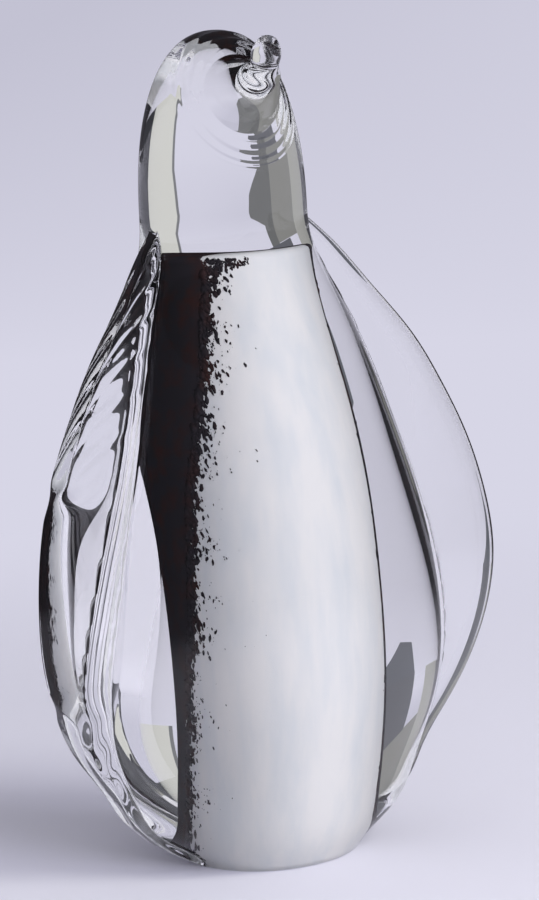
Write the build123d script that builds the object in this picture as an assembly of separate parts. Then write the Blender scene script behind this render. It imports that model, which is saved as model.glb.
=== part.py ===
"""Penguin figurine in solid hot-worked glass, about 218 mm tall.

An opal white core stands inside a thick clear casing. Dark crushed glass is
pressed into the core's skin round its back, and single grains of it stray over
the white front. The clear head is a second gather on the neck, drawn out into a
short muzzle that carries the beak. Two clear bits are laid on as wings.

Frame: the origin is the middle of the flat ground foot, +Z is up, the belly and
the beak face -Y, and +X is the penguin's left side. All lengths are millimetres.
"""

import math
import os

from build123d import *

# Overall sizes
casing_height = 170.0  # foot to the joint of casing and head at the neck
head_height = 47.5  # neck joint to crown
foot_half_width = 23.0  # flat ground foot
foot_half_depth = 20.5
neck_radius = 22.0
neck_set_back = 10.0  # the neck stands this far behind the foot's middle

# Clear casing
casing_half_width = 52.3
casing_half_depth = 36.0
casing_height_shares = (
    0, 0.02, 0.05, 0.12, 0.215, 0.32, 0.46, 0.595, 0.725, 0.845, 0.92, 0.965, 1
)
casing_wide_shares = (
    0, 0.1, 0.365, 0.68, 0.915, 1, 0.89, 0.675, 0.467, 0.26, 0.09, 0.015, 0
)
casing_deep_shares = (
    0, 0.12, 0.33, 0.66, 0.92, 1, 0.89, 0.68, 0.43, 0.19, 0.05, 0.01, 0
)
casing_back_shares = (
    0, 0.05, 0.15, 0.35, 0.35, 0.15, -0.1, -0.15, 0.1, 0.55, 0.86, 0.97, 1
)

# Opal core
core_top_cover = 11.5  # clear glass between the core's top and the neck joint
core_height = casing_height - core_top_cover
core_radius = 23.8
core_foot_radius = 18.2
core_top_radius = 15.4
core_top_rounding = 2.0
core_top_tilt = 7.0  # degrees, the cut top leans back with the neck
core_height_shares = (0, 0.04, 0.1, 0.17, 0.28, 0.46, 0.6, 0.73, 0.88, 1)
core_round_shares = (0, 0.43, 0.75, 0.9, 1, 0.93, 0.79, 0.56, 0.2, 0)
core_back_shares = (0, -0.1, -0.2, -0.3, -0.42, -0.35, -0.15, 0.15, 0.6, 0.95)
core_tilt_shares = (0, 0, 0, 0, 0, 0, 0.1, 0.3, 0.7, 1)

# Dark back coat and its stray grains
coat_thickness = 1.0
coat_edge_angle = 86.0  # from the belly's middle round to the coat's edge, low down
coat_right_edge_shares = (1, 1, 1, 0.97, 0.91, 0.84, 0.78, 0.67, 0.59, 0.51)
coat_left_edge_shares = (0.77, 0.77, 0.77, 0.78, 0.78, 0.79, 0.8, 0.82, 0.88, 0.91)
coat_edge_steps = 14
coat_edge_jag = 0.8  # how far the torn edge wanders
grains_per_side = 14
grain_low_share = 0.06  # of the core's height, where the grains begin
grain_high_share = 0.93
grain_radius = 0.85
grain_depth = 1.4
grain_column_step = 3.0  # from the coat's edge to the first grains, and between columns
grain_columns = 3
crown_grains = 6
crown_grain_drop = 3.8  # below the core's top
crown_grain_step = 2.3

# Wings
wing_stand_out = 15.3  # of the edge's widest point from the casing's widest point
wing_reach = casing_half_width + wing_stand_out
wing_half_thickness = 6.6
wing_low_end = 3.0
wing_top_gap = 0.5  # below the neck joint
wing_high_end = casing_height - wing_top_gap
wing_foot_flare = 5.0  # the low end reaches this far past the foot's half width
wing_top_sink = 0.5  # the high end stops inside the neck
wing_height_shares = (
    0, 0.048, 0.109, 0.181, 0.266, 0.35, 0.435, 0.532, 0.628, 0.713, 0.798, 0.882, 0.949, 1
)
wing_reach_shares = (
    0, 0.328, 0.512, 0.721, 0.886, 0.976, 1, 0.956, 0.855, 0.717, 0.549, 0.332, 0.164, 0
)
wing_thick_shares = (
    0.75, 0.8, 0.86, 0.93, 0.97, 1, 1, 0.97, 0.93, 0.89, 0.86, 0.82, 0.8, 0.7
)
wing_sweep = 8.0  # how far the edge stands out of the middle plane
wing_sweep_shares = (
    0, 0.1, 0.14, 0, -0.45, -0.8, -1, -0.92, -0.76, -0.6, -0.36, 0.1, 0.6, 1.1
)
wing_root_share = 0.38  # the section starts at this share of its reach
wing_round_limit = 0.95  # a section is never thicker than this share of its length

# Head and muzzle
figure_height = casing_height + head_height
dome_power = 2.3  # the dome's profile: 2 is an ellipse, more is squarer
dome_profile_shares = (0, 0.3, 0.5, 0.65, 0.78, 0.88, 0.96)
muzzle_reach = 26.4  # from the head's axis to the beak's ring
muzzle_ring_drop = 10.5  # the ring's middle below the crown
muzzle_ring_radius = 4.0
muzzle_root_radius = 13.0
muzzle_root_reach = 6.0
muzzle_root_drop = 19.0
muzzle_middle_share = 0.6
muzzle_middle_radius = 8.2
muzzle_middle_turn_share = 0.25  # how far its pitch has turned towards the beak's

# Beak
beak_length = 9.6
beak_radius = 4.0
beak_tip_radius = 2.5
beak_pitch = 66.0  # above the horizontal
beak_bulge_share = 0.35
beak_taper_share = 0.85

cut_overrun = 5.0


def between(low, high, share):
    """A value that share of the way from low to high."""
    return low + (high - low) * share


def table_at(shares_in, shares_out, share):
    """The table's value at share, by straight lines between its entries."""
    for i in range(1, len(shares_in)):
        if share <= shares_in[i]:
            part = (share - shares_in[i - 1]) / (shares_in[i] - shares_in[i - 1])
            return between(shares_out[i - 1], shares_out[i], part)
    return shares_out[-1]


def wavy(step, phase):
    """An uneven but repeatable wave between -1 and 1."""
    slow = math.sin(0.61 * step + phase)
    middle = math.sin(1.73 * step + 2.1 * phase)
    fast = math.sin(4.37 * step + 3.7 * phase)
    return 0.45 * slow + 0.3 * middle + 0.25 * fast


def oval(width, depth, middle_x, middle_y, height, turn=0.0):
    """A level oval section, turned about its own middle by turn degrees."""
    side = (math.cos(math.radians(turn)), math.sin(math.radians(turn)), 0)
    level = Plane(origin=(middle_x, middle_y, height), x_dir=side, z_dir=(0, 0, 1))
    return level * Ellipse(width, depth)


def make_casing_outside():
    sections = []
    for i, share in enumerate(casing_height_shares):
        plain_width = between(foot_half_width, neck_radius, share)
        plain_depth = between(foot_half_depth, neck_radius, share)
        width = between(plain_width, casing_half_width, casing_wide_shares[i])
        depth = between(plain_depth, casing_half_depth, casing_deep_shares[i])
        middle_y = neck_set_back * casing_back_shares[i]
        sections.append(oval(width, depth, 0, middle_y, casing_height * share))
    return loft(sections)


def core_radius_at(share, inset=0.0):
    straight = between(core_foot_radius, core_top_radius, share)
    bulge = table_at(core_height_shares, core_round_shares, share)
    return between(straight, core_radius, bulge) - inset


def core_middle_at(share):
    return neck_set_back * table_at(core_height_shares, core_back_shares, share)


def make_core_form(inset=0.0):
    """The core's outer form, or the form that lies inset below its skin."""
    sections = []
    for share, tilt_share in zip(core_height_shares, core_tilt_shares):
        tilt = math.radians(core_top_tilt * tilt_share)
        middle = (0, core_middle_at(share), (core_height - inset) * share)
        level = Plane(middle, x_dir=(1, 0, 0), z_dir=(0, math.sin(tilt), math.cos(tilt)))
        sections.append(level * Circle(core_radius_at(share, inset)))
    form = loft(sections)
    return fillet(form.edges().group_by(Axis.Z)[-1], core_top_rounding)


def coat_edge_turn(share, side):
    """Where the coat's edge stands round the core, in radians from the belly."""
    shares = coat_left_edge_shares if side > 0 else coat_right_edge_shares
    edge_share = table_at(core_height_shares, shares, min(1, max(0, share)))
    return math.radians(coat_edge_angle) * edge_share


def make_white_window():
    """The front region that the coat leaves white, with its torn edges."""
    reach = casing_half_depth + cut_overrun
    front = -(reach + neck_set_back)
    sections = []
    for step in range(coat_edge_steps + 1):
        height = between(-cut_overrun, core_height + cut_overrun, step / coat_edge_steps)
        share = min(1, max(0, height / core_height))
        middle = core_middle_at(share)
        jag = coat_edge_jag / core_radius_at(share)
        right = coat_edge_turn(share, -1) + jag * wavy(step, 0.4)
        left = coat_edge_turn(share, 1) + jag * wavy(step, 1.9)
        outline = Polyline(
            (0, middle, height),
            (reach * math.sin(left), middle - reach * math.cos(left), height),
            (reach * math.sin(left), front, height),
            (-reach * math.sin(right), front, height),
            (-reach * math.sin(right), middle - reach * math.cos(right), height),
            close=True,
        )
        sections.append(make_face(outline))
    return loft(sections, ruled=True)


def grain_peg(height, side, inward):
    """A peg across the core's skin, inward of the coat's edge by that length."""
    share = height / core_height
    radius = core_radius_at(share)
    turn = coat_edge_turn(share, side) - inward / radius
    out = Vector(side * math.sin(turn), -math.cos(turn), 0)
    middle = Vector(0, core_middle_at(share), height) + out * (radius - grain_depth)
    length = grain_depth + cut_overrun
    return Plane(middle, z_dir=out) * Pos(0, 0, length / 2) * Cylinder(grain_radius, length)


def side_grain_pegs(side):
    """Grains that stray from the coat's edge towards the belly, on one side."""
    pegs = []
    for index in range(grains_per_side):
        place = index + 0.5 + 0.3 * wavy(index, 0.8 * side)
        share = between(grain_low_share, grain_high_share, place / grains_per_side)
        column = 1 + index % grain_columns
        pegs.append(grain_peg(core_height * share, side, grain_column_step * column))
    return Compound(pegs)


def crown_grain_pegs():
    """A row of grains under the core's top edge, on the penguin's right."""
    pegs = []
    for index in range(crown_grains):
        height = core_height - crown_grain_drop + grain_radius * wavy(index, 1.1) / 2
        inward = grain_column_step * (grain_columns + 1) + crown_grain_step * index
        pegs.append(grain_peg(height, -1, inward))
    return Compound(pegs)


def make_right_wing(casing_outside):
    """A lens-shaped bit laid on the casing's flank, on the penguin's right."""
    sections = []
    for i, share in enumerate(wing_height_shares):
        height = between(wing_low_end, wing_high_end, share)
        foot_reach = foot_half_width + wing_foot_flare
        buried = between(foot_reach, neck_radius - wing_top_sink, share)
        reach = between(buried, wing_reach, wing_reach_shares[i])
        root = reach * wing_root_share
        back = neck_set_back * table_at(
            casing_height_shares, casing_back_shares, height / casing_height
        )
        tip_y = wing_sweep * wing_sweep_shares[i]
        turn = math.degrees(math.atan2(tip_y - back, reach))
        middle_y = between(back, tip_y, (1 + wing_root_share) / 2)
        half_length = (reach - root) / 2
        half_thickness = wing_half_thickness * wing_thick_shares[i]
        half_thickness = min(half_thickness, half_length * wing_round_limit)
        middle_x = -(reach + root) / 2
        sections.append(oval(half_length, half_thickness, middle_x, middle_y, height, -turn))
    return loft(sections) - casing_outside


def make_head():
    """The clear dome and neck, with the muzzle drawn out of its front."""
    side = [(neck_radius, casing_height)]
    for share in dome_profile_shares[1:]:
        radius = neck_radius * (1 - share**dome_power) ** (1 / dome_power)
        side.append((radius, casing_height + head_height * share))
    side.append((0, figure_height))
    wall = Spline(*side, tangents=((0, 1), (-1, 0)))
    rest = Polyline((0, figure_height), (0, casing_height), (neck_radius, casing_height))
    profile = Plane.XZ * make_face(wall + rest)
    dome = Pos(0, neck_set_back, 0) * revolve(profile, Axis.Z)
    return dome + make_muzzle()


def muzzle_point(share):
    """A point on the muzzle's middle line, from its buried root to its ring."""
    reach = between(muzzle_root_reach, muzzle_reach, share)
    drop = between(muzzle_root_drop, muzzle_ring_drop, share)
    return (0, neck_set_back - reach, figure_height - drop)


def pitched_plane(point, pitch):
    """A plane square to a line that rises towards the front by pitch degrees."""
    angle = math.radians(pitch)
    along = (0, -math.cos(angle), math.sin(angle))
    return Plane(origin=point, x_dir=(1, 0, 0), z_dir=along)


def make_muzzle():
    root_pitch = math.degrees(
        math.atan2(
            muzzle_root_drop - muzzle_ring_drop, muzzle_reach - muzzle_root_reach
        )
    )
    middle_pitch = between(root_pitch, beak_pitch, muzzle_middle_turn_share)
    stations = (
        (0, muzzle_root_radius, root_pitch),
        (muzzle_middle_share, muzzle_middle_radius, middle_pitch),
        (1, muzzle_ring_radius, beak_pitch),
    )
    circles = [
        pitched_plane(muzzle_point(share), pitch) * Circle(radius)
        for share, radius, pitch in stations
    ]
    return loft(circles)


def make_beak():
    """A short blunt cone that stands on the muzzle's ring."""
    side = Spline(
        (muzzle_ring_radius, 0),
        (beak_radius, beak_length * beak_bulge_share),
        (beak_tip_radius, beak_length * beak_taper_share),
        (0, beak_length),
    )
    rest = Polyline((0, beak_length), (0, 0), (muzzle_ring_radius, 0))
    profile = Plane.XZ * make_face(side + rest)
    return pitched_plane(muzzle_point(1), beak_pitch) * revolve(profile, Axis.Z)


def main():
    casing_outside = make_casing_outside()
    core_form = make_core_form()
    shell = core_form - make_core_form(coat_thickness)
    coat = shell - make_white_window()
    pegs = [side_grain_pegs(-1), side_grain_pegs(1), crown_grain_pegs()]
    core = core_form - coat
    for group in pegs:
        core -= group
    right_grains, left_grains, crown = [core_form & group for group in pegs]
    right_wing = make_right_wing(casing_outside)

    nodes = {
        "clear_casing": casing_outside - core_form,
        "opal_core": core,
        "dark_back_coat": coat,
        "right_edge_grains": right_grains,
        "left_edge_grains": left_grains,
        "crown_edge_grains": crown,
        "clear_head": make_head(),
        "beak": make_beak(),
        "right_wing": right_wing,
        "left_wing": mirror(right_wing, about=Plane.YZ),
    }
    os.makedirs("parts", exist_ok=True)
    for name, shape in nodes.items():
        export_step(shape, f"parts/{name}.step")
        print(name, len(shape.solids()), round(shape.volume))


main()
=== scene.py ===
import math

import bpy
import numpy as np
from mathutils import Matrix


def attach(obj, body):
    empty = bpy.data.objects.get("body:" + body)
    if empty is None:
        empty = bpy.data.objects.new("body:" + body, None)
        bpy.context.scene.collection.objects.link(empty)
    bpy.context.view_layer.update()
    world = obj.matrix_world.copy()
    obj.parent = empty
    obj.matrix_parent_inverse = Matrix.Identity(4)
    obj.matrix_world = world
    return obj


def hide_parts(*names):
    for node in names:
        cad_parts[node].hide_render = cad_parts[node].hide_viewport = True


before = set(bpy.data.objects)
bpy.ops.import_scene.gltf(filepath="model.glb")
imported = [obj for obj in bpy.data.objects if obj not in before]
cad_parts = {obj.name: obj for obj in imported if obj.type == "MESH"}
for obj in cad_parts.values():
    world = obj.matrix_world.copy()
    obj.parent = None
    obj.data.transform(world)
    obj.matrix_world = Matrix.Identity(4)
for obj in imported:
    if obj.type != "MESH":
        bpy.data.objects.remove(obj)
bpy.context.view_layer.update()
mm = 0.001


def linearColour(code):
    # From an sRGB hex code to the linear colour that a shader takes.
    channels = [int(code[i:i + 2], 16) / 255 for i in (1, 3, 5)]
    return [c / 12.92 if c <= 0.04045 else ((c + 0.055) / 1.055) ** 2.4 for c in channels] + [1]


def addNode(tree, kind, settings=None, inputs=None, links=None):
    # Links maps an input to the output socket that feeds it.
    node = tree.nodes.new(kind)
    for key, value in (settings or {}).items():
        setattr(node, key, value)
    for key, value in (inputs or {}).items():
        node.inputs[key].default_value = value
    for key, socket in (links or {}).items():
        tree.links.new(socket, node.inputs[key])
    return node


def newMaterial(name):
    # An empty material and its tree.
    material = bpy.data.materials.new(name)
    material.use_nodes = True
    material.node_tree.nodes.clear()
    return material, material.node_tree


def splineThrough(knots, values, at):
    # Natural cubic through the table's points: the second slopes solve one band of equations.
    knots, values = np.asarray(knots, float), np.asarray(values, float)
    gap = np.diff(knots)
    rise = np.diff(values) / gap
    matrix = np.eye(len(knots))
    right = np.zeros(len(knots))
    for k in range(1, len(knots) - 1):
        matrix[k, k - 1:k + 2] = gap[k - 1], 2 * (gap[k - 1] + gap[k]), gap[k]
        right[k] = 6 * (rise[k] - rise[k - 1])
    bend = np.linalg.solve(matrix, right)
    at = np.clip(at, knots[0], knots[-1])
    i = np.clip(np.searchsorted(knots, at, side="right") - 1, 0, len(gap) - 1)
    u, h = at - knots[i], gap[i]
    slope = rise[i] - h * (2 * bend[i] + bend[i + 1]) / 6
    return values[i] + slope * u + bend[i] * u ** 2 / 2 + (bend[i + 1] - bend[i]) * u ** 3 / (6 * h)


def smoothStep(low, high, at):
    # 0 below low and 1 above high, with a level cubic between them.
    t = np.clip((at - low) / (high - low), 0, 1)
    return t * t * (3 - 2 * t)


def lerp(low, high, share):
    # Low at a share of 0, high at a share of 1, straight between.
    return low + (high - low) * share


def meshFromArrays(name, points, faces, material):
    # Points in millimetres; a face row ends in -1 where it is a triangle.
    mesh = bpy.data.meshes.new(name)
    faces = [tuple(int(v) for v in row if v >= 0) for row in faces]
    mesh.from_pydata((points * mm).tolist(), [], faces)
    mesh.polygons.foreach_set("use_smooth", np.ones(len(mesh.polygons), bool))
    mesh.materials.append(material)
    mesh.update()
    piece = bpy.data.objects.new(name, mesh)
    bpy.context.collection.objects.link(piece)
    return piece


def gridFaces(rows, columns, wrap=True):
    # Four corners for each cell of a grid of points; with wrap the last column joins the first.
    j = np.arange(columns if wrap else columns - 1)
    k = (j + 1) % columns
    i = np.arange(rows - 1)[:, None]
    quads = np.stack(np.broadcast_arrays(i * columns + j, i * columns + k, (i + 1) * columns + k,
                                         (i + 1) * columns + j), axis=-1)
    return quads.reshape(-1, 4)


def closedTube(name, rings, material):
    # Rings are rows, columns, 3; a point in the middle of each end ring closes the tube.
    rows, columns = rings.shape[:2]
    ends = np.stack([rings[0].mean(axis=0), rings[-1].mean(axis=0)])
    points = np.concatenate([rings.reshape(-1, 3), ends])
    j = np.arange(columns)
    k = (j + 1) % columns
    none = np.full(columns, -1)
    low = np.stack([k, j, np.full(columns, rows * columns), none], axis=-1)
    top = (rows - 1) * columns
    high = np.stack([top + j, top + k, np.full(columns, rows * columns + 1), none], axis=-1)
    faces = np.concatenate([gridFaces(rows, columns), low, high])
    return meshFromArrays(name, points, faces, material)


# All forms are in millimetres and follow the solid model's; the wings are thinner high up, and
# the penguin's right one is flatter.
casing = {
    "height": 170.0, "footHalfWidth": 23.0, "footHalfDepth": 20.5, "neckRadius": 22.0, "neckSetBack": 10.0,
    "halfWidth": 52.3, "halfDepth": 36.0, "footEdge": 1.2,
    "heightShares": (0, 0.02, 0.05, 0.12, 0.215, 0.32, 0.46, 0.595, 0.725, 0.845, 0.92, 0.965, 1, 1.03),
    "wideShares": (0, 0.1, 0.365, 0.68, 0.915, 1, 0.89, 0.675, 0.467, 0.26, 0.09, 0.015, 0, 0),
    "deepShares": (0, 0.12, 0.33, 0.66, 0.92, 1, 0.89, 0.68, 0.43, 0.19, 0.05, 0.01, 0, 0),
    "backShares": (0, 0.05, 0.15, 0.35, 0.35, 0.15, -0.1, -0.15, 0.1, 0.55, 0.86, 0.97, 1, 1),
}


def casingSection(z):
    # Half width and half depth at each height: the straight line from foot to neck, drawn out
    # to the widest by the tables' shares. The third is the middle's y.
    share = z / casing["height"]
    shares = np.array(casing["heightShares"])
    plainWide = lerp(casing["footHalfWidth"], casing["neckRadius"], shares)
    plainDeep = lerp(casing["footHalfDepth"], casing["neckRadius"], shares)
    wide = lerp(plainWide, casing["halfWidth"], np.array(casing["wideShares"]))
    deep = lerp(plainDeep, casing["halfDepth"], np.array(casing["deepShares"]))
    back = casing["neckSetBack"] * np.array(casing["backShares"])
    return [splineThrough(shares, values, share) for values in (wide, deep, back)]


wings = {
    "reach": 67.6, "halfThickness": 6.6, "low": 3.0, "high": 169.5,
    "footReach": 28.0, "footFade": 1.8, "topReach": 21.5,
    "heightShares": (0, 0.048, 0.109, 0.181, 0.266, 0.35, 0.435, 0.532, 0.628, 0.713, 0.798, 0.882, 0.949, 1),
    "reachShares": (0, 0.328, 0.512, 0.721, 0.886, 0.976, 1, 0.956, 0.855, 0.717, 0.549, 0.332, 0.164, 0),
    "thickShares": (0.75, 0.8, 0.86, 0.93, 0.97, 1, 1, 0.92, 0.82, 0.72, 0.62, 0.5, 0.42, 0.36),
    "sweep": 8.0, "sweepShares": (0, 0.1, 0.14, 0, -0.45, -0.8, -1, -0.92, -0.76, -0.6, -0.36, 0.1, 0.6, 1.1),
    "rootShare": 0.38, "roundLimit": 0.95, "rootBlunt": 0.8, "creaseSoftness": 0.006,
    "freeFill": (0.02, 0.08),
    # The penguin's right wing is a flat plate but for its middle; the left one is a plain oval.
    "blunt": {-1: 0.85, 1: 0.0}, "middleBlunt": {-1: -0.45, 1: 0.0},
    "middleStart": (44, 56), "middleEnd": (98, 108), "pullIn": {-1: 2.1, 1: 0.0}, "pullInStart": (4, 12),
}


def wingSection(z, angle, side):
    # Points round the wing's section, an oval from root to tip whose faces blunt makes flatter;
    # angle 0 is its outer edge.
    share = np.clip((z - wings["low"]) / (wings["high"] - wings["low"]), 0, 1)
    shares = np.array(wings["heightShares"])
    buried = lerp(wings["footReach"], wings["topReach"], shares)
    reachTable = lerp(buried, wings["reach"], np.array(wings["reachShares"]))
    reach = splineThrough(shares, reachTable, share)
    reach = reach - wings["footFade"] * np.clip(wings["low"] - z, 0, None)
    middleShare = smoothStep(*wings["middleStart"], z) * (1 - smoothStep(*wings["middleEnd"], z))
    reach = reach - wings["pullIn"][side] * (1 - middleShare) * smoothStep(*wings["pullInStart"], z)
    thick = splineThrough(shares, wings["halfThickness"] * np.array(wings["thickShares"]), share)
    tipY = splineThrough(shares, wings["sweep"] * np.array(wings["sweepShares"]), share)
    middle = casingSection(z)[2]
    halfLength = reach * (1 - wings["rootShare"]) / 2
    thick = np.minimum(thick, wings["roundLimit"] * halfLength)
    turn = np.arctan2(tipY - middle, reach)
    centreX = reach * (1 + wings["rootShare"]) / 2
    centreY = lerp(middle, tipY, (1 + wings["rootShare"]) / 2)
    blunt = lerp(wings["blunt"][side], wings["middleBlunt"][side], middleShare)
    blunt = np.where(np.cos(angle) < 0, wings["rootBlunt"], blunt)
    along = halfLength * np.cos(angle)
    across = thick * np.sign(np.sin(angle)) * np.abs(np.sin(angle)) ** (1 - blunt)
    x = centreX + along * np.cos(turn) - across * np.sin(turn)
    y = centreY + along * np.sin(turn) + across * np.cos(turn)
    return side * x, y


core = {
    "height": 158.5, "radius": 23.8, "footRadius": 18.2, "topRadius": 15.4, "topRounding": 2.0,
    "topTilt": 7.0, "lift": 0.15, "rows": 150, "columns": 160,
    "heightShares": (0, 0.04, 0.1, 0.17, 0.28, 0.46, 0.6, 0.73, 0.88, 1),
    "roundShares": (0, 0.43, 0.75, 0.9, 1, 0.93, 0.79, 0.56, 0.2, 0),
    "backShares": (0, -0.1, -0.2, -0.3, -0.42, -0.35, -0.15, 0.15, 0.6, 0.95),
    "tiltShares": (0, 0, 0, 0, 0, 0, 0.1, 0.3, 0.7, 1),
}


def coreRadius(share):
    # The straight taper, drawn out by the table's shares, less a quarter circle at the top edge.
    shares = np.array(core["heightShares"])
    straight = lerp(core["footRadius"], core["topRadius"], shares)
    radius = lerp(straight, core["radius"], np.array(core["roundShares"]))
    drop = np.clip((1 - share) * core["height"] / core["topRounding"], 0, 1)
    rounded = core["topRounding"] * (1 - np.sqrt(np.clip(1 - (1 - drop) ** 2, 0, 1)))
    return splineThrough(shares, radius, share) - rounded


def corePoint(share, turn, offset):
    # On the core's skin, or off it by offset; its sections lean back towards the top.
    radius = coreRadius(share) + offset
    middle = casing["neckSetBack"] * splineThrough(core["heightShares"], core["backShares"], share)
    tilt = math.radians(core["topTilt"]) * splineThrough(core["heightShares"], core["tiltShares"], share)
    x = radius * np.cos(turn)
    y = middle + radius * np.sin(turn) * np.cos(tilt)
    z = core["height"] * share - radius * np.sin(turn) * np.sin(tilt)
    return np.stack(np.broadcast_arrays(x, y, np.maximum(z, core["lift"])), axis=-1)


toolMarks = {  # slanted grooves high on the right wing and waves low on it, fading at both ends and edges
    "strength": {-1: 1.0, 1: 0.0}, "highStart": (104, 118), "highEnd": (152, 165), "lowEnd": (30, 52),
    "edgeStart": (0.06, 0.2), "edgeEnd": (0.6, 0.85), "spacing": 10, "grooveSlant": 2.4, "grooveWidth": 0.4,
    "grooveDepth": 0.4, "waveSlant": 0.9, "waveDepth": 0.3,
}


def toolRelief(z, u, side):
    # How far a wing's faces stand out where the tool marked them; u runs round the wing from its edge.
    high = smoothStep(*toolMarks["highStart"], z) * (1 - smoothStep(*toolMarks["highEnd"], z))
    low = 1 - smoothStep(*toolMarks["lowEnd"], z)
    inward = np.abs(u)
    reach = smoothStep(*toolMarks["edgeStart"], inward) * (1 - smoothStep(*toolMarks["edgeEnd"], inward))
    turns = z / toolMarks["spacing"]
    offGroove = np.sin(np.pi * (turns - toolMarks["grooveSlant"] * inward))
    groove = np.exp(-(offGroove / toolMarks["grooveWidth"]) ** 2)
    wave = np.sin(2 * np.pi * (turns - toolMarks["waveSlant"] * u))
    relief = toolMarks["waveDepth"] * (wave * low) - toolMarks["grooveDepth"] * (groove * high)
    return relief * reach * toolMarks["strength"][side]


skin = {  # how finely the clear glass is divided
    "wingColumns": 72, "frontColumns": 84, "backColumns": 60, "bodyRows": 190, "headRows": 70,
    "muzzleRows": 60, "wingSpan": 2.15, "wingEven": 0.55, "footRows": (0, 0.05, 0.2, 0.5),
    "footShares": (0.25, 0.5, 0.75, 0.95),
}


def bodyRings():
    # Casing and wings in one skin. Each ring runs round the right wing, the front, the left wing
    # and the back. A wing's points inside the casing are pushed out to its oval.
    z = casing["height"] * np.linspace(0, 1, skin["bodyRows"])
    z = np.concatenate([skin["footRows"], z[1:]])[:, None]
    a, b, middle = casingSection(z)
    u = np.linspace(-1, 1, skin["wingColumns"])
    around = skin["wingSpan"] * lerp(u ** 3, u, skin["wingEven"])

    def wingPart(side, turnWay):
        x, y = wingSection(z, turnWay * around, side)
        fill = np.sqrt((x / a) ** 2 + ((y - middle) / b) ** 2)
        push = 1 / fill
        free = smoothStep(*wings["freeFill"], fill - 1)
        push = 0.5 * (1 + push + np.sqrt((push - 1) ** 2 + wings["creaseSoftness"] ** 2))
        y = y + toolRelief(z, u, side) * free * np.sign(np.sin(turnWay * around))
        return x * push, middle + (y - middle) * push

    rightX, rightY = wingPart(-1, -1)
    leftX, leftY = wingPart(1, 1)

    def turnOf(x, y, near):
        # Within half a turn of near, so that an arc never runs the wrong way round.
        turn = np.arctan2((y - middle[:, 0]) / b[:, 0], x / a[:, 0])
        return ((turn - near + np.pi) % (2 * np.pi) + near - np.pi)[:, None]

    def arc(start, end, columns):
        turn = start + (end - start) * (np.arange(columns) + 1) / (columns + 1)
        return a * np.cos(turn), middle + b * np.sin(turn)

    frontX, frontY = arc(turnOf(rightX[:, -1], rightY[:, -1], np.pi),
                         turnOf(leftX[:, 0], leftY[:, 0], 2 * np.pi), skin["frontColumns"])
    backX, backY = arc(turnOf(leftX[:, -1], leftY[:, -1], 0),
                       turnOf(rightX[:, 0], rightY[:, 0], np.pi), skin["backColumns"])
    x = np.concatenate([rightX, frontX, leftX, backX], axis=1)
    y = np.concatenate([rightY, frontY, leftY, backY], axis=1)
    inset = casing["footEdge"]
    rise = np.clip(z / inset, 0, 1)
    shrink = 1 - inset * (1 - np.sqrt(1 - (1 - rise) ** 2)) / casing["footHalfDepth"]
    return np.stack(np.broadcast_arrays(x * shrink, middle + (y - middle) * shrink, z), axis=-1)


head = {
    "top": 217.5, "domePower": 2.3, "middleUp": 26.0, "muzzlePitch": 20.0, "muzzleCone": 37.0,
    "markDepth": 0.22, "markCount": 11.0, "markStart": (0.72, 0.84),
    "evenBy": 0.5, "farthest": 60.0, "halvings": 34,
}
muzzle = {  # middle line, radius and pitch from the dome to the beak's tip
    "ys": (-3.7, -6.3, -9.0, -12.0, -14.6, -16.1, -16.8, -17.8, -18.9, -19.7, -20.15, -20.3),
    "zs": (201.0, 202.0, 203.1, 204.5, 206.0, 207.2, 208.4, 210.6, 213.0, 214.7, 215.5, 215.8),
    "radii": (11.0, 9.6, 8.2, 6.6, 5.2, 4.5, 3.75, 3.8, 3.45, 2.5, 1.3, 0.12),
    "pitches": (20, 23, 28, 36, 47, 57, 62, 66, 66, 66, 66, 66),
}


def headReach(direction, centre):
    # How far the dome lies from the centre along each direction, by halving. On the dome the
    # powers of the shares across and up add to 1.
    low = np.zeros(direction.shape[:2])
    high = np.full(direction.shape[:2], head["farthest"])
    power = head["domePower"]
    for _ in range(head["halvings"]):
        reach = (low + high) / 2
        p = centre + direction * reach[..., None]
        across = np.hypot(p[..., 0], p[..., 1] - casing["neckSetBack"]) / casing["neckRadius"]
        up = np.clip((p[..., 2] - casing["height"]) / (head["top"] - casing["height"]), 0, None)
        inside = across ** power + up ** power < 1
        low, high = np.where(inside, reach, low), np.where(inside, high, reach)
    return low


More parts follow.
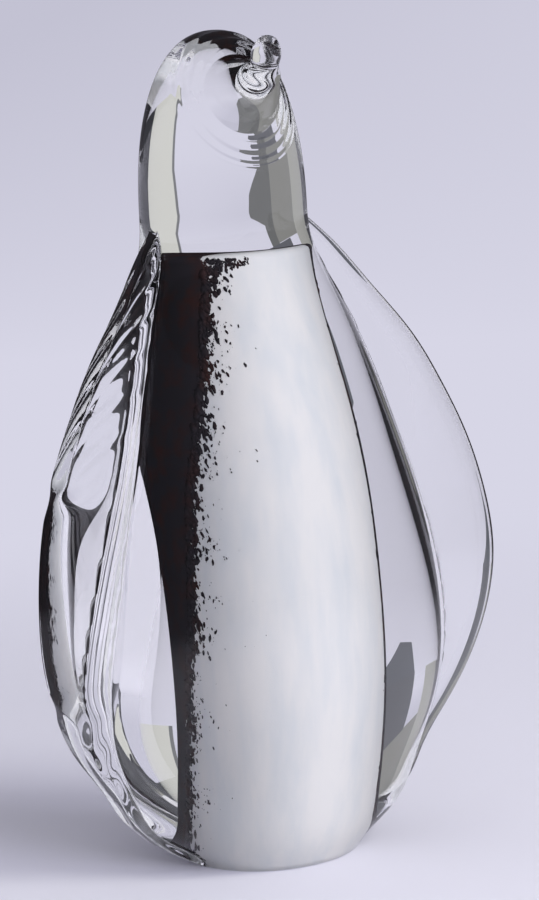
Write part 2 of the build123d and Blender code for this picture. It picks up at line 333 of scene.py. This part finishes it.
def headRings(neckRing):
    # The rings tip over from level at the neck to square with the muzzle, then follow its
    # curved middle line out to the beak's tip.
    columns = len(neckRing)
    neckTurn = np.unwrap(np.arctan2(neckRing[:, 1] - casing["neckSetBack"], neckRing[:, 0]))
    even = np.linspace(0, 2 * np.pi, columns, endpoint=False)
    even = even + (neckTurn - even).mean()
    share = np.linspace(0, 1, skin["headRows"])[1:, None]
    turn = lerp(neckTurn, even, smoothStep(0, head["evenBy"], share))
    centre = np.array([0, casing["neckSetBack"], casing["height"] + head["middleUp"]])
    start = math.pi / 2 + math.atan2(head["middleUp"], casing["neckRadius"])
    cone = lerp(start, math.radians(head["muzzleCone"]), share)
    tip = (math.pi / 2 - math.radians(head["muzzlePitch"])) * smoothStep(0, 1, share)
    zero = np.zeros_like(tip)
    axis = np.stack([zero, -np.sin(tip), np.cos(tip)], axis=-1)
    second = np.stack([zero, np.cos(tip), np.sin(tip)], axis=-1)
    first = np.array([1.0, 0, 0])
    around = np.cos(turn)[..., None] * first + np.sin(turn)[..., None] * second
    direction = np.sin(cone)[..., None] * around + np.cos(cone)[..., None] * axis
    marks = head["markDepth"] * np.sin(2 * np.pi * head["markCount"] * share)
    marks = marks * smoothStep(*head["markStart"], share)
    dome = centre + direction * (headReach(direction, centre) + marks)[..., None]

    ys, zs = np.array(muzzle["ys"]), np.array(muzzle["zs"])
    along = np.concatenate([[0], np.cumsum(np.hypot(np.diff(ys), np.diff(zs)))])
    at = np.linspace(0, along[-1], skin["muzzleRows"])[1:]
    pitch = np.radians(splineThrough(along, muzzle["pitches"], at))
    radius = splineThrough(along, muzzle["radii"], at)
    path = np.stack([0 * at, splineThrough(along, ys, at), splineThrough(along, zs, at)], axis=-1)
    side = np.stack([0 * pitch, np.sin(pitch), np.cos(pitch)], axis=-1)
    aroundMuzzle = np.cos(even)[None, :, None] * first + np.sin(even)[None, :, None] * side[:, None, :]
    pulled = path[:, None, :] + radius[:, None, None] * aroundMuzzle
    return np.concatenate([dome, pulled])


def makeClearGlass(material):
    # Body, wings, dome, muzzle and beak in one closed skin; rings drawn in fill the foot.
    rings = bodyRings()
    rings = np.concatenate([rings, headRings(rings[-1])])
    foot = rings[:1]
    middle = foot.mean(axis=1, keepdims=True)
    inner = [middle + (foot - middle) * share for share in skin["footShares"]]
    piece = closedTube("clearGlass", np.concatenate(inner + [rings]), material)
    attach(piece, "root")
    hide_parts("clear_casing", "clear_head", "beak", "right_wing", "left_wing")
    print("clear glass", len(piece.data.polygons))


def makeOpalCore(material):
    # The core's rings, closer together towards the top edge.
    share = np.sin(np.linspace(0, 1, core["rows"]) * np.pi / 2)[:, None]
    turn = np.linspace(0, 2 * np.pi, core["columns"], endpoint=False)
    piece = closedTube("opalCore", corePoint(share, turn, 0), material)
    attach(piece, "root")
    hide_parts("opal_core")
    print("opal core", len(piece.data.polygons))


coat = {  # the edges' angles from the belly's middle, up the core, on the penguin's right and left
    "edgeAngle": 86.0,
    "edgeShares": {-1: (1.16, 1.16, 1.16, 1.13, 1.09, 0.95, 0.885, 0.765, 0.63, 0.53),
                   1: (0.77, 0.77, 0.77, 0.78, 0.78, 0.79, 0.8, 0.82, 0.88, 0.91)},
    "jag": {-1: 1.6, 1: 0.25}, "proud": 0.15, "buried": 0.5, "rows": 420, "columns": 90,
    "seeds": {-1: 8, 1: 3}, "capStart": 0.98, "topGap": 0.03, "topRows": 24,
}
tornLine = {  # sines of a torn edge, waves per millimetre; each has a weaker, quicker second
    "octaves": 6, "rate": 0.045, "quicken": 2.1, "gain": 0.62,
    "second": 0.5, "secondRate": 1.7, "scale": 2.6,
}


def roughLine(at, seed, octaves=tornLine["octaves"]):
    # A torn line: sines that quicken and shrink from octave to octave, with seeded phases.
    chance = np.random.default_rng(seed)
    total = np.zeros_like(at)
    height = 1.0
    for octave in range(octaves):
        phase = chance.uniform(0, 2 * np.pi, 2)
        rate = tornLine["rate"] * tornLine["quicken"] ** octave * 2 * np.pi
        second = tornLine["second"] * np.sin(tornLine["secondRate"] * at * rate + phase[1])
        total += height * (np.sin(at * rate + phase[0]) + second)
        height *= tornLine["gain"]
    return total / tornLine["scale"]


def coatEdge(share, side):
    # Turn of the coat's edge about the core, from the belly's middle.
    edgeShare = splineThrough(core["heightShares"], coat["edgeShares"][side], share)
    return math.radians(coat["edgeAngle"]) * edgeShare


def makeDarkCoat(material):
    # A thin closed shell round the core's back and folded over its top, with torn front edges.
    share = np.linspace(0, 1, coat["rows"])
    z = core["height"] * share
    radius = coreRadius(share)
    front = 1.5 * np.pi
    jagLeft, jagRight = (coat["jag"][side] * roughLine(z, coat["seeds"][side]) / radius
                         for side in (1, -1))
    left = front + coatEdge(share, 1) + jagLeft
    right = front + 2 * np.pi - coatEdge(share, -1) - jagRight
    turn = left[:, None] + (right - left)[:, None] * np.linspace(0, 1, coat["columns"])
    outer = corePoint(share[:, None], turn, coat["proud"])
    inner = corePoint(share[:, None], turn, -coat["buried"])
    crown = corePoint(np.ones(1), np.zeros(1), -coreRadius(np.ones(1)))
    inward = np.linspace(1, coat["topGap"], coat["topRows"])[1:, None, None]
    outer, inner = (np.concatenate([skirt, crown + (skirt[-1] - crown) * inward])
                    for skirt in (outer, inner))
    cap = np.concatenate([smoothStep(coat["capStart"], 1, share), np.ones(coat["topRows"] - 1)])[:, None]
    outer[..., 2] += coat["proud"] * cap
    inner[..., 2] -= coat["buried"] * cap
    piece = closedTube("darkCoat", np.concatenate([outer, inner[:, ::-1]], axis=1), material)
    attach(piece, "root")
    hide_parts("dark_back_coat")
    print("dark coat", len(piece.data.polygons))


grains = {
    "seed": 11, "count": {-1: 2700, 1: 60}, "largest": 1.8, "smallest": 0.2, "mostlySmall": 2.5,
    "lowest": 0.02, "span": 0.95, "stray": {-1: 2.7, 1: 0.5}, "overlap": 0.8, "shrinkOver": 4,
    "clumpSeed": 21, "clumpOctaves": 4, "clumpMiddle": 0.5, "clumpSwing": 0.9, "clumpLimit": 1.6,
    "loose": 0.25, "corners": 7, "thickness": 0.25, "ragged": (0.5, 1.3), "wide": 0.75, "tall": 1.3,
    "lean": (-0.5, 0.2), "rimProud": 0.4, "shareLimits": (0.001, 0.9995),
}
crownGrains = {  # a short fringe under the core's top edge, thinning inwards
    "count": 170, "below": 1.2, "depth": 4.5, "taper": 0.6, "turnShares": (1.05, 0.2), "sizes": (0.9, 0.3),
    "sizeSpread": (0.4, 1.0),
}


def makeGrains(name, node, share, turn, size, material, chance):
    # Thin uneven chips on the core's skin: each a fan of faces up to a low crown and one below.
    count, corners = len(share), grains["corners"]
    corner = np.linspace(0, 2 * np.pi, corners, endpoint=False)
    reach = size[:, None] * chance.uniform(*grains["ragged"], (count, corners))
    across = reach * np.cos(corner) * grains["wide"]
    up = reach * np.sin(corner) * grains["tall"]
    across = across + chance.uniform(*grains["lean"], count)[:, None] * up
    rimShare = np.clip(share[:, None] + up / core["height"], *grains["shareLimits"])
    rimTurn = turn[:, None] + across / coreRadius(share)[:, None]
    rim = corePoint(rimShare, rimTurn, coat["proud"] * grains["rimProud"])
    crown = corePoint(share, turn, coat["proud"] + grains["thickness"] * size)
    below = corePoint(share, turn, -grains["thickness"])
    points = np.concatenate([rim.reshape(-1, 3), crown, below])
    base = np.arange(count)[:, None] * corners
    j = np.arange(corners)
    a, b = base + j, base + (j + 1) % corners
    top = np.broadcast_to(count * corners + np.arange(count)[:, None], a.shape)
    faces = np.concatenate([np.stack([a, b, top], axis=-1).reshape(-1, 3),
                            np.stack([b, a, top + count], axis=-1).reshape(-1, 3)])
    piece = meshFromArrays(name, points, faces, material)
    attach(piece, "root")
    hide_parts(node)
    print(name, len(piece.data.polygons))


def scatterSide(side, chance):
    # Heights, turns and sizes of the grains that stray inwards from one edge of the coat.
    count = grains["count"][side]
    share = grains["lowest"] + grains["span"] * chance.random(count)
    clump = roughLine(share * core["height"], grains["clumpSeed"] + side, octaves=grains["clumpOctaves"])
    clump = np.clip(grains["clumpMiddle"] + grains["clumpSwing"] * clump, 0, grains["clumpLimit"])
    stray = chance.exponential(grains["stray"][side], count) * (grains["loose"] + clump)
    size = lerp(grains["smallest"], grains["largest"], chance.random(count) ** grains["mostlySmall"])
    size = size / (1 + stray / grains["shrinkOver"])
    turn = 1.5 * np.pi + side * (coatEdge(share, side) - (stray - grains["overlap"]) / coreRadius(share))
    return share, turn, size


def makeAllGrains(material):
    # Both torn edges of the coat, then the fringe under the core's top.
    chance = np.random.default_rng(grains["seed"])
    makeGrains("rightEdgeGrains", "right_edge_grains", *scatterSide(-1, chance), material, chance)
    makeGrains("leftEdgeGrains", "left_edge_grains", *scatterSide(1, chance), material, chance)
    count = crownGrains["count"]
    inward = chance.random(count)
    drop = crownGrains["depth"] * chance.random(count) * (1 - crownGrains["taper"] * inward)
    share = 1 - (crownGrains["below"] + drop) / core["height"]
    turn = 1.5 * np.pi - coatEdge(share, -1) * lerp(*crownGrains["turnShares"], inward)
    size = lerp(*crownGrains["sizes"], inward) * chance.uniform(*crownGrains["sizeSpread"], count)
    makeGrains("crownEdgeGrains", "crown_edge_grains", share, turn, size, material, chance)


def makeCrystal():
    # Lead-free crystal, fire-polished: clear to the edge, bends light strongly, sharp reflections.
    material, tree = newMaterial("firePolishedCrystal")
    glass = addNode(tree, "ShaderNodeBsdfPrincipled", inputs={
        "Base Color": linearColour("#FEFEFE"), "Roughness": 0.0, "IOR": 1.52, "Transmission Weight": 1.0})
    through = addNode(tree, "ShaderNodeBsdfTransparent", inputs={"Color": linearColour("#D6D6DC")})
    path = addNode(tree, "ShaderNodeLightPath")
    mix = addNode(tree, "ShaderNodeMixShader", links={
        "Fac": path.outputs["Is Shadow Ray"], 1: glass.outputs["BSDF"], 2: through.outputs["BSDF"]})
    addNode(tree, "ShaderNodeOutputMaterial", links={"Surface": mix.outputs["Shader"]})
    return material


opal = {  # how many clouds lie across and up so many millimetres of the glass
    "span": 100, "cloudsAcross": 14, "cloudsUp": 2.8,
    "cool": "#D9DCDE", "milky": "#E6E5E3", "ramp": (0.3, 0.6),
}


def makeOpal():
    # Opal glass: dense milky white that thins to a cool tint; its skin is sealed in the casing.
    material, tree = newMaterial("opalGlass")
    place = addNode(tree, "ShaderNodeTexCoord")
    across, up = (opal[key] / (opal["span"] * mm) for key in ("cloudsAcross", "cloudsUp"))
    stretch = addNode(tree, "ShaderNodeMapping", inputs={"Scale": (across, across, up)},
                      links={"Vector": place.outputs["Object"]})
    cloud = addNode(tree, "ShaderNodeTexNoise", inputs={"Scale": 1.0, "Detail": 4.0, "Roughness": 0.55},
                    links={"Vector": stretch.outputs["Vector"]})
    ramp = addNode(tree, "ShaderNodeValToRGB", links={"Fac": cloud.outputs["Fac"]})
    for element, at, colour in zip(ramp.color_ramp.elements, opal["ramp"], (opal["cool"], opal["milky"])):
        element.position = at
        element.color = linearColour(colour)
    milk = addNode(tree, "ShaderNodeBsdfPrincipled", inputs={
        "Roughness": 0.6, "IOR": 1.52, "Specular IOR Level": 0.0},
        links={"Base Color": ramp.outputs["Color"]})
    addNode(tree, "ShaderNodeOutputMaterial", links={"Surface": milk.outputs["BSDF"]})
    return material


frit = {  # how many patches of one tone lie along so many millimetres
    "span": 100, "patches": 18, "black": "#2A272B", "amethyst": "#38221E", "ramp": (0.45, 0.75),
}


def makeDarkFrit():
    # Crushed dark amethyst glass, fused: black where it is thick, brown-red where it is thin.
    material, tree = newMaterial("darkAmethystFrit")
    place = addNode(tree, "ShaderNodeTexCoord")
    cloud = addNode(tree, "ShaderNodeTexNoise", inputs={
        "Scale": frit["patches"] / (frit["span"] * mm), "Detail": 3.0, "Roughness": 0.6},
        links={"Vector": place.outputs["Object"]})
    ramp = addNode(tree, "ShaderNodeValToRGB", links={"Fac": cloud.outputs["Fac"]})
    for element, at, colour in zip(ramp.color_ramp.elements, frit["ramp"], (frit["black"], frit["amethyst"])):
        element.position = at
        element.color = linearColour(colour)
    crushed = addNode(tree, "ShaderNodeBsdfPrincipled", inputs={
        "Roughness": 0.5, "IOR": 1.52, "Specular IOR Level": 0.0},
        links={"Base Color": ramp.outputs["Color"]})
    addNode(tree, "ShaderNodeOutputMaterial", links={"Surface": crushed.outputs["BSDF"]})
    return material


studio = {  # degrees; distance and viewHeight in metres; aim, sensor and boards in millimetres
    "azimuth": -28.0, "elevation": 9.0, "distance": 0.80, "roll": 3.0, "aim": (3.7, -1.9, 108.0),
    "viewHeight": 0.2358, "sensorHeight": 24.0, "boardReach": 420.0, "boardColumns": 24,
}


def viewDirection(azimuth, elevation):
    # From the figure towards a viewer; azimuth 0 is straight in front of the belly.
    a, e = math.radians(azimuth), math.radians(elevation)
    return np.array([math.sin(a) * math.cos(e), -math.cos(a) * math.cos(e), math.sin(e)])


def placeFacing(thing, aim, back, distance, roll=0.0):
    # Puts a camera or lamp at a distance from the aim along back, looking at the aim.
    right = np.cross([0, 0, 1], back)
    right /= np.linalg.norm(right)
    up = np.cross(back, right)
    right, up = math.cos(roll) * right - math.sin(roll) * up, math.cos(roll) * up + math.sin(roll) * right
    matrix = np.eye(4)
    matrix[:3, 0], matrix[:3, 1], matrix[:3, 2], matrix[:3, 3] = right, up, back, aim + back * distance
    bpy.context.collection.objects.link(thing)
    thing.matrix_world = Matrix(matrix.tolist())


def makeCamera():
    # The lens takes in the view's height at the figure's distance.
    data = bpy.data.cameras.new("camera")
    data.sensor_fit = "VERTICAL"
    data.sensor_height = studio["sensorHeight"]
    data.lens = studio["sensorHeight"] / 2 / (studio["viewHeight"] / 2 / studio["distance"])
    camera = bpy.data.objects.new("camera", data)
    placeFacing(camera, np.array(studio["aim"]) * mm, viewDirection(studio["azimuth"], studio["elevation"]),
                studio["distance"], math.radians(studio["roll"]))
    bpy.context.scene.camera = camera


backdrop = {  # metres; the glow takes over from the lit paper between two distances from the figure; painted shade darkens the glow with height, most towards the left of the view
    "floorRadius": 1.1, "wallRadius": 1.7, "wallHeight": 1.3, "wallShare": 0.8, "middle": 0.001,
    "rows": 24, "columns": 96, "glowFrom": 0.13, "glowTo": 0.5, "mirrored": 0.2,
    "shadeHeight": 0.28, "shadeCurve": 0.6, "shadeSideReach": 0.21, "shadeLeft": 1.33, "shadeRight": 0.67,
}


def sweepColourWithPaintedShade(tree):
    # Pale lavender with painted shade: darker with height, most towards the left of the view.
    place = addNode(tree, "ShaderNodeTexCoord")
    parts = addNode(tree, "ShaderNodeSeparateXYZ", links={"Vector": place.outputs["Object"]})
    height = addNode(tree, "ShaderNodeMapRange", inputs={1: 0.0, 2: backdrop["shadeHeight"], 3: 0.0, 4: 1.0},
                     links={0: parts.outputs["Z"]})
    turn = math.radians(studio["azimuth"])
    right = addNode(tree, "ShaderNodeVectorMath", {"operation": "DOT_PRODUCT"},
                    {1: (math.cos(turn), math.sin(turn), 0)}, {0: place.outputs["Object"]})
    lean = addNode(tree, "ShaderNodeMapRange", inputs={
        1: -backdrop["shadeSideReach"], 2: backdrop["shadeSideReach"],
        3: backdrop["shadeLeft"], 4: backdrop["shadeRight"]}, links={0: right.outputs["Value"]})
    early = addNode(tree, "ShaderNodeMath", {"operation": "POWER"}, {1: backdrop["shadeCurve"]},
                    {0: height.outputs[0]})
    depth = addNode(tree, "ShaderNodeMath", {"operation": "MULTIPLY"},
                    links={0: early.outputs[0], 1: lean.outputs[0]})
    ramp = addNode(tree, "ShaderNodeValToRGB", links={"Fac": depth.outputs[0]})
    # The lit lavender low down, then the painted shade high up.
    ramp.color_ramp.elements[0].color = linearColour("#D7D6E6")
    ramp.color_ramp.elements[1].color = linearColour("#C3C2D3")
    return ramp, parts


def makeSweep():
    # Floor and wall in one turned sheet, so the horizon shows no line.
    floor, wall, high = backdrop["floorRadius"], backdrop["wallRadius"], backdrop["wallHeight"]
    steps = backdrop["rows"]
    bend = np.linspace(0, np.pi / 2, steps)
    radius = np.concatenate([np.linspace(backdrop["middle"], floor, steps),
                             floor + (wall - floor) * np.sin(bend[1:]), [wall, wall]])
    height = np.concatenate([np.zeros(steps), (wall - floor) * (1 - np.cos(bend[1:])),
                             [high * backdrop["wallShare"], high]])
    turn = np.linspace(0, 2 * np.pi, backdrop["columns"], endpoint=False)
    rings = np.stack([radius[:, None] * np.cos(turn), radius[:, None] * np.sin(turn),
                      np.broadcast_to(height[:, None], (len(radius), len(turn)))], axis=-1)
    material, tree = newMaterial("paperSweep")
    ramp, parts = sweepColourWithPaintedShade(tree)
    flat = addNode(tree, "ShaderNodeCombineXYZ", links={"X": parts.outputs["X"], "Y": parts.outputs["Y"]})
    across = addNode(tree, "ShaderNodeVectorMath", {"operation": "LENGTH"}, links={0: flat.outputs[0]})
    far = addNode(tree, "ShaderNodeMapRange", {"interpolation_type": "SMOOTHSTEP"},
                  {1: backdrop["glowFrom"], 2: backdrop["glowTo"], 3: 0.0, 4: 1.0},
                  {0: across.outputs["Value"]})
    paper = addNode(tree, "ShaderNodeBsdfDiffuse", inputs={"Color": linearColour("#D6D5E0")})
    path = addNode(tree, "ShaderNodeLightPath")
    strength = addNode(tree, "ShaderNodeMapRange", inputs={1: 0.0, 2: 1.0, 3: 1.0, 4: backdrop["mirrored"]},
                       links={0: path.outputs["Is Reflection Ray"]})
    glow = addNode(tree, "ShaderNodeEmission", links={
        "Color": ramp.outputs["Color"], "Strength": strength.outputs[0]})
    direct = addNode(tree, "ShaderNodeMath", {"operation": "MAXIMUM"},
                     links={0: path.outputs["Is Camera Ray"], 1: path.outputs["Is Glossy Ray"]})
    seen = addNode(tree, "ShaderNodeMath", {"operation": "MAXIMUM"},
                   links={0: direct.outputs[0], 1: path.outputs["Is Transmission Ray"]})
    share = addNode(tree, "ShaderNodeMath", {"operation": "MULTIPLY"},
                    links={0: seen.outputs[0], 1: far.outputs[0]})
    mix = addNode(tree, "ShaderNodeMixShader", links={
        "Fac": share.outputs[0], 1: paper.outputs["BSDF"], 2: glow.outputs["Emission"]})
    addNode(tree, "ShaderNodeOutputMaterial", links={"Surface": mix.outputs["Shader"]})
    sweep = meshFromArrays("sweep", rings.reshape(-1, 3) / mm, gridFaces(*rings.shape[:2]), material)


cards = {  # boards that only the bent rays see; angles from straight ahead towards the right, by height
    "edgeGrey": {"heights": (0, 119, 127, 135, 155, 168, 450), "from": (-24,) * 7,
                 "to": (-20, -19, -16, -12.5, -10, -8.5, -8.5), "colour": "#6B6C6D"},
    "leftGrey": {"heights": (79, 450), "from": (-42, -42), "to": (-24, -24), "colour": "#878785"},
    "outerGrey": {"heights": (0, 450), "from": (-62, -62), "to": (-42, -42), "colour": "#A6A6A3"},
    "lowGrey": {"heights": (0, 80), "from": (-33, -33), "to": (-15, -16), "colour": "#62636A", "reach": 410},
    "leftDeep": {"heights": (0, 450), "from": (-90, -90), "to": (-62, -62), "colour": "#3C3D42"},
    "rightLine": {"heights": (0, 119, 168, 450), "from": (21, 21, 15.5, 15.5), "to": (22.5, 22.5, 17, 17),
                  "colour": "#77787C"},
    "rightPale": {"heights": (0, 119, 168, 450), "from": (22.5, 22.5, 17, 17), "to": (47, 47, 47, 47),
                  "colour": "#D2D2CE"},
    "rightDark": {"heights": (0, 450), "from": (47, 47), "to": (85, 85), "colour": "#34353A"},
}
floorCard = {  # each corner's distance and its angle from straight ahead towards the right
    "corners": ((245, -27), (245, -22), (410, -15), (410, -33)), "lift": 3, "colour": "#62646C",
}


def makeBoard(name, points, faces, colour):
    # A plain board that glows with its own colour and is seen only through the glass.
    material, tree = newMaterial(name + "Board")
    glow = addNode(tree, "ShaderNodeEmission", inputs={"Color": linearColour(colour), "Strength": 1.0})
    addNode(tree, "ShaderNodeOutputMaterial", links={"Surface": glow.outputs["Emission"]})
    board = meshFromArrays(name, points, faces, material)
    board.visible_camera = board.visible_diffuse = board.visible_shadow = board.visible_glossy = False


def makeCard(name, card):
    # An upright board bent round the set.
    ahead = math.radians(studio["azimuth"]) + math.pi / 2
    share = np.linspace(0, 1, studio["boardColumns"])
    start, end = (np.array(card[key], float)[:, None] for key in ("from", "to"))
    turn = ahead - np.radians(lerp(start, end, share))
    height = np.array(card["heights"], float)[:, None]
    reach = card.get("reach", studio["boardReach"])
    rings = np.stack(np.broadcast_arrays(reach * np.cos(turn), reach * np.sin(turn), height), axis=-1)
    makeBoard(name, rings.reshape(-1, 3), gridFaces(len(height), len(share), wrap=False), card["colour"])


def makeFloorBoard():
    # Lies flat behind the figure, where the rays that leave its left flank meet the floor.
    ahead = -viewDirection(studio["azimuth"], 0)
    right = np.cross(ahead, [0, 0, 1])
    corners = [reach * (ahead * math.cos(math.radians(turn)) + right * math.sin(math.radians(turn)))
               for reach, turn in floorCard["corners"]]
    makeBoard("floorBoard", np.array(corners) + [0, 0, floorCard["lift"]], np.array([[0, 1, 2, 3]]),
              floorCard["colour"])


lamps = {  # the direction's shares to the camera's right, towards it and up; metres and watts
    "key": {"right": 0.75, "near": 0.45, "up": 0.8, "distance": 1.8, "size": 0.7, "power": 25.4},
    "low": {"right": 0.35, "near": 1.0, "up": 0.12, "distance": 1.0, "size": 0.4, "power": 4.8},
}
lampAim = np.array([0, 0, 0.1])


def makeLamp(name, lamp):
    # A soft round light; neither reflections nor bent rays show it.
    data = bpy.data.lights.new(name, "AREA")
    data.shape, data.size, data.energy = "DISK", lamp["size"], lamp["power"]
    source = bpy.data.objects.new(name, data)
    near = viewDirection(studio["azimuth"], 0)
    right = np.cross([0, 0, 1], near)
    direction = lamp["right"] * right + lamp["near"] * near + np.array([0, 0, lamp["up"]])
    placeFacing(source, lampAim, direction / np.linalg.norm(direction), lamp["distance"])
    source.visible_glossy = source.visible_transmission = False


def makeAir():
    # Soft even light from all round; reflections and bent rays see a darker room.
    world = bpy.data.worlds.new("studioAir")
    world.use_nodes = True
    tree = world.node_tree
    tree.nodes.clear()
    path = addNode(tree, "ShaderNodeLightPath")
    soft = addNode(tree, "ShaderNodeBackground", inputs={
        "Color": linearColour("#F4F4F5"), "Strength": 0.48})
    dark = addNode(tree, "ShaderNodeBackground", inputs={"Color": linearColour("#4A4B50"), "Strength": 1.0})
    seen = addNode(tree, "ShaderNodeMath", {"operation": "MAXIMUM"},
                   links={0: path.outputs["Is Glossy Ray"], 1: path.outputs["Is Transmission Ray"]})
    mix = addNode(tree, "ShaderNodeMixShader", links={
        "Fac": seen.outputs[0], 1: soft.outputs["Background"], 2: dark.outputs["Background"]})
    addNode(tree, "ShaderNodeOutputWorld", links={"Surface": mix.outputs["Shader"]})
    bpy.context.scene.world = world


def makeStudio():
    for name, lamp in lamps.items():
        makeLamp(name, lamp)
    makeAir()
    makeSweep()
    for name, card in cards.items():
        makeCard(name, card)
    makeFloorBoard()
    print("studio", len(lamps), "lamps", len(cards) + 1, "boards")


bpy.context.scene.view_settings.view_transform = "Standard"
# A ray crosses many skins of glass before it leaves.
bpy.context.scene.cycles.max_bounces = 24
bpy.context.scene.cycles.transmission_bounces = 20
bpy.context.scene.cycles.glossy_bounces = 12
makeCamera()
makeStudio()
makeClearGlass(makeCrystal())
makeOpalCore(makeOpal())
darkFrit = makeDarkFrit()
makeDarkCoat(darkFrit)
makeAllGrains(darkFrit)
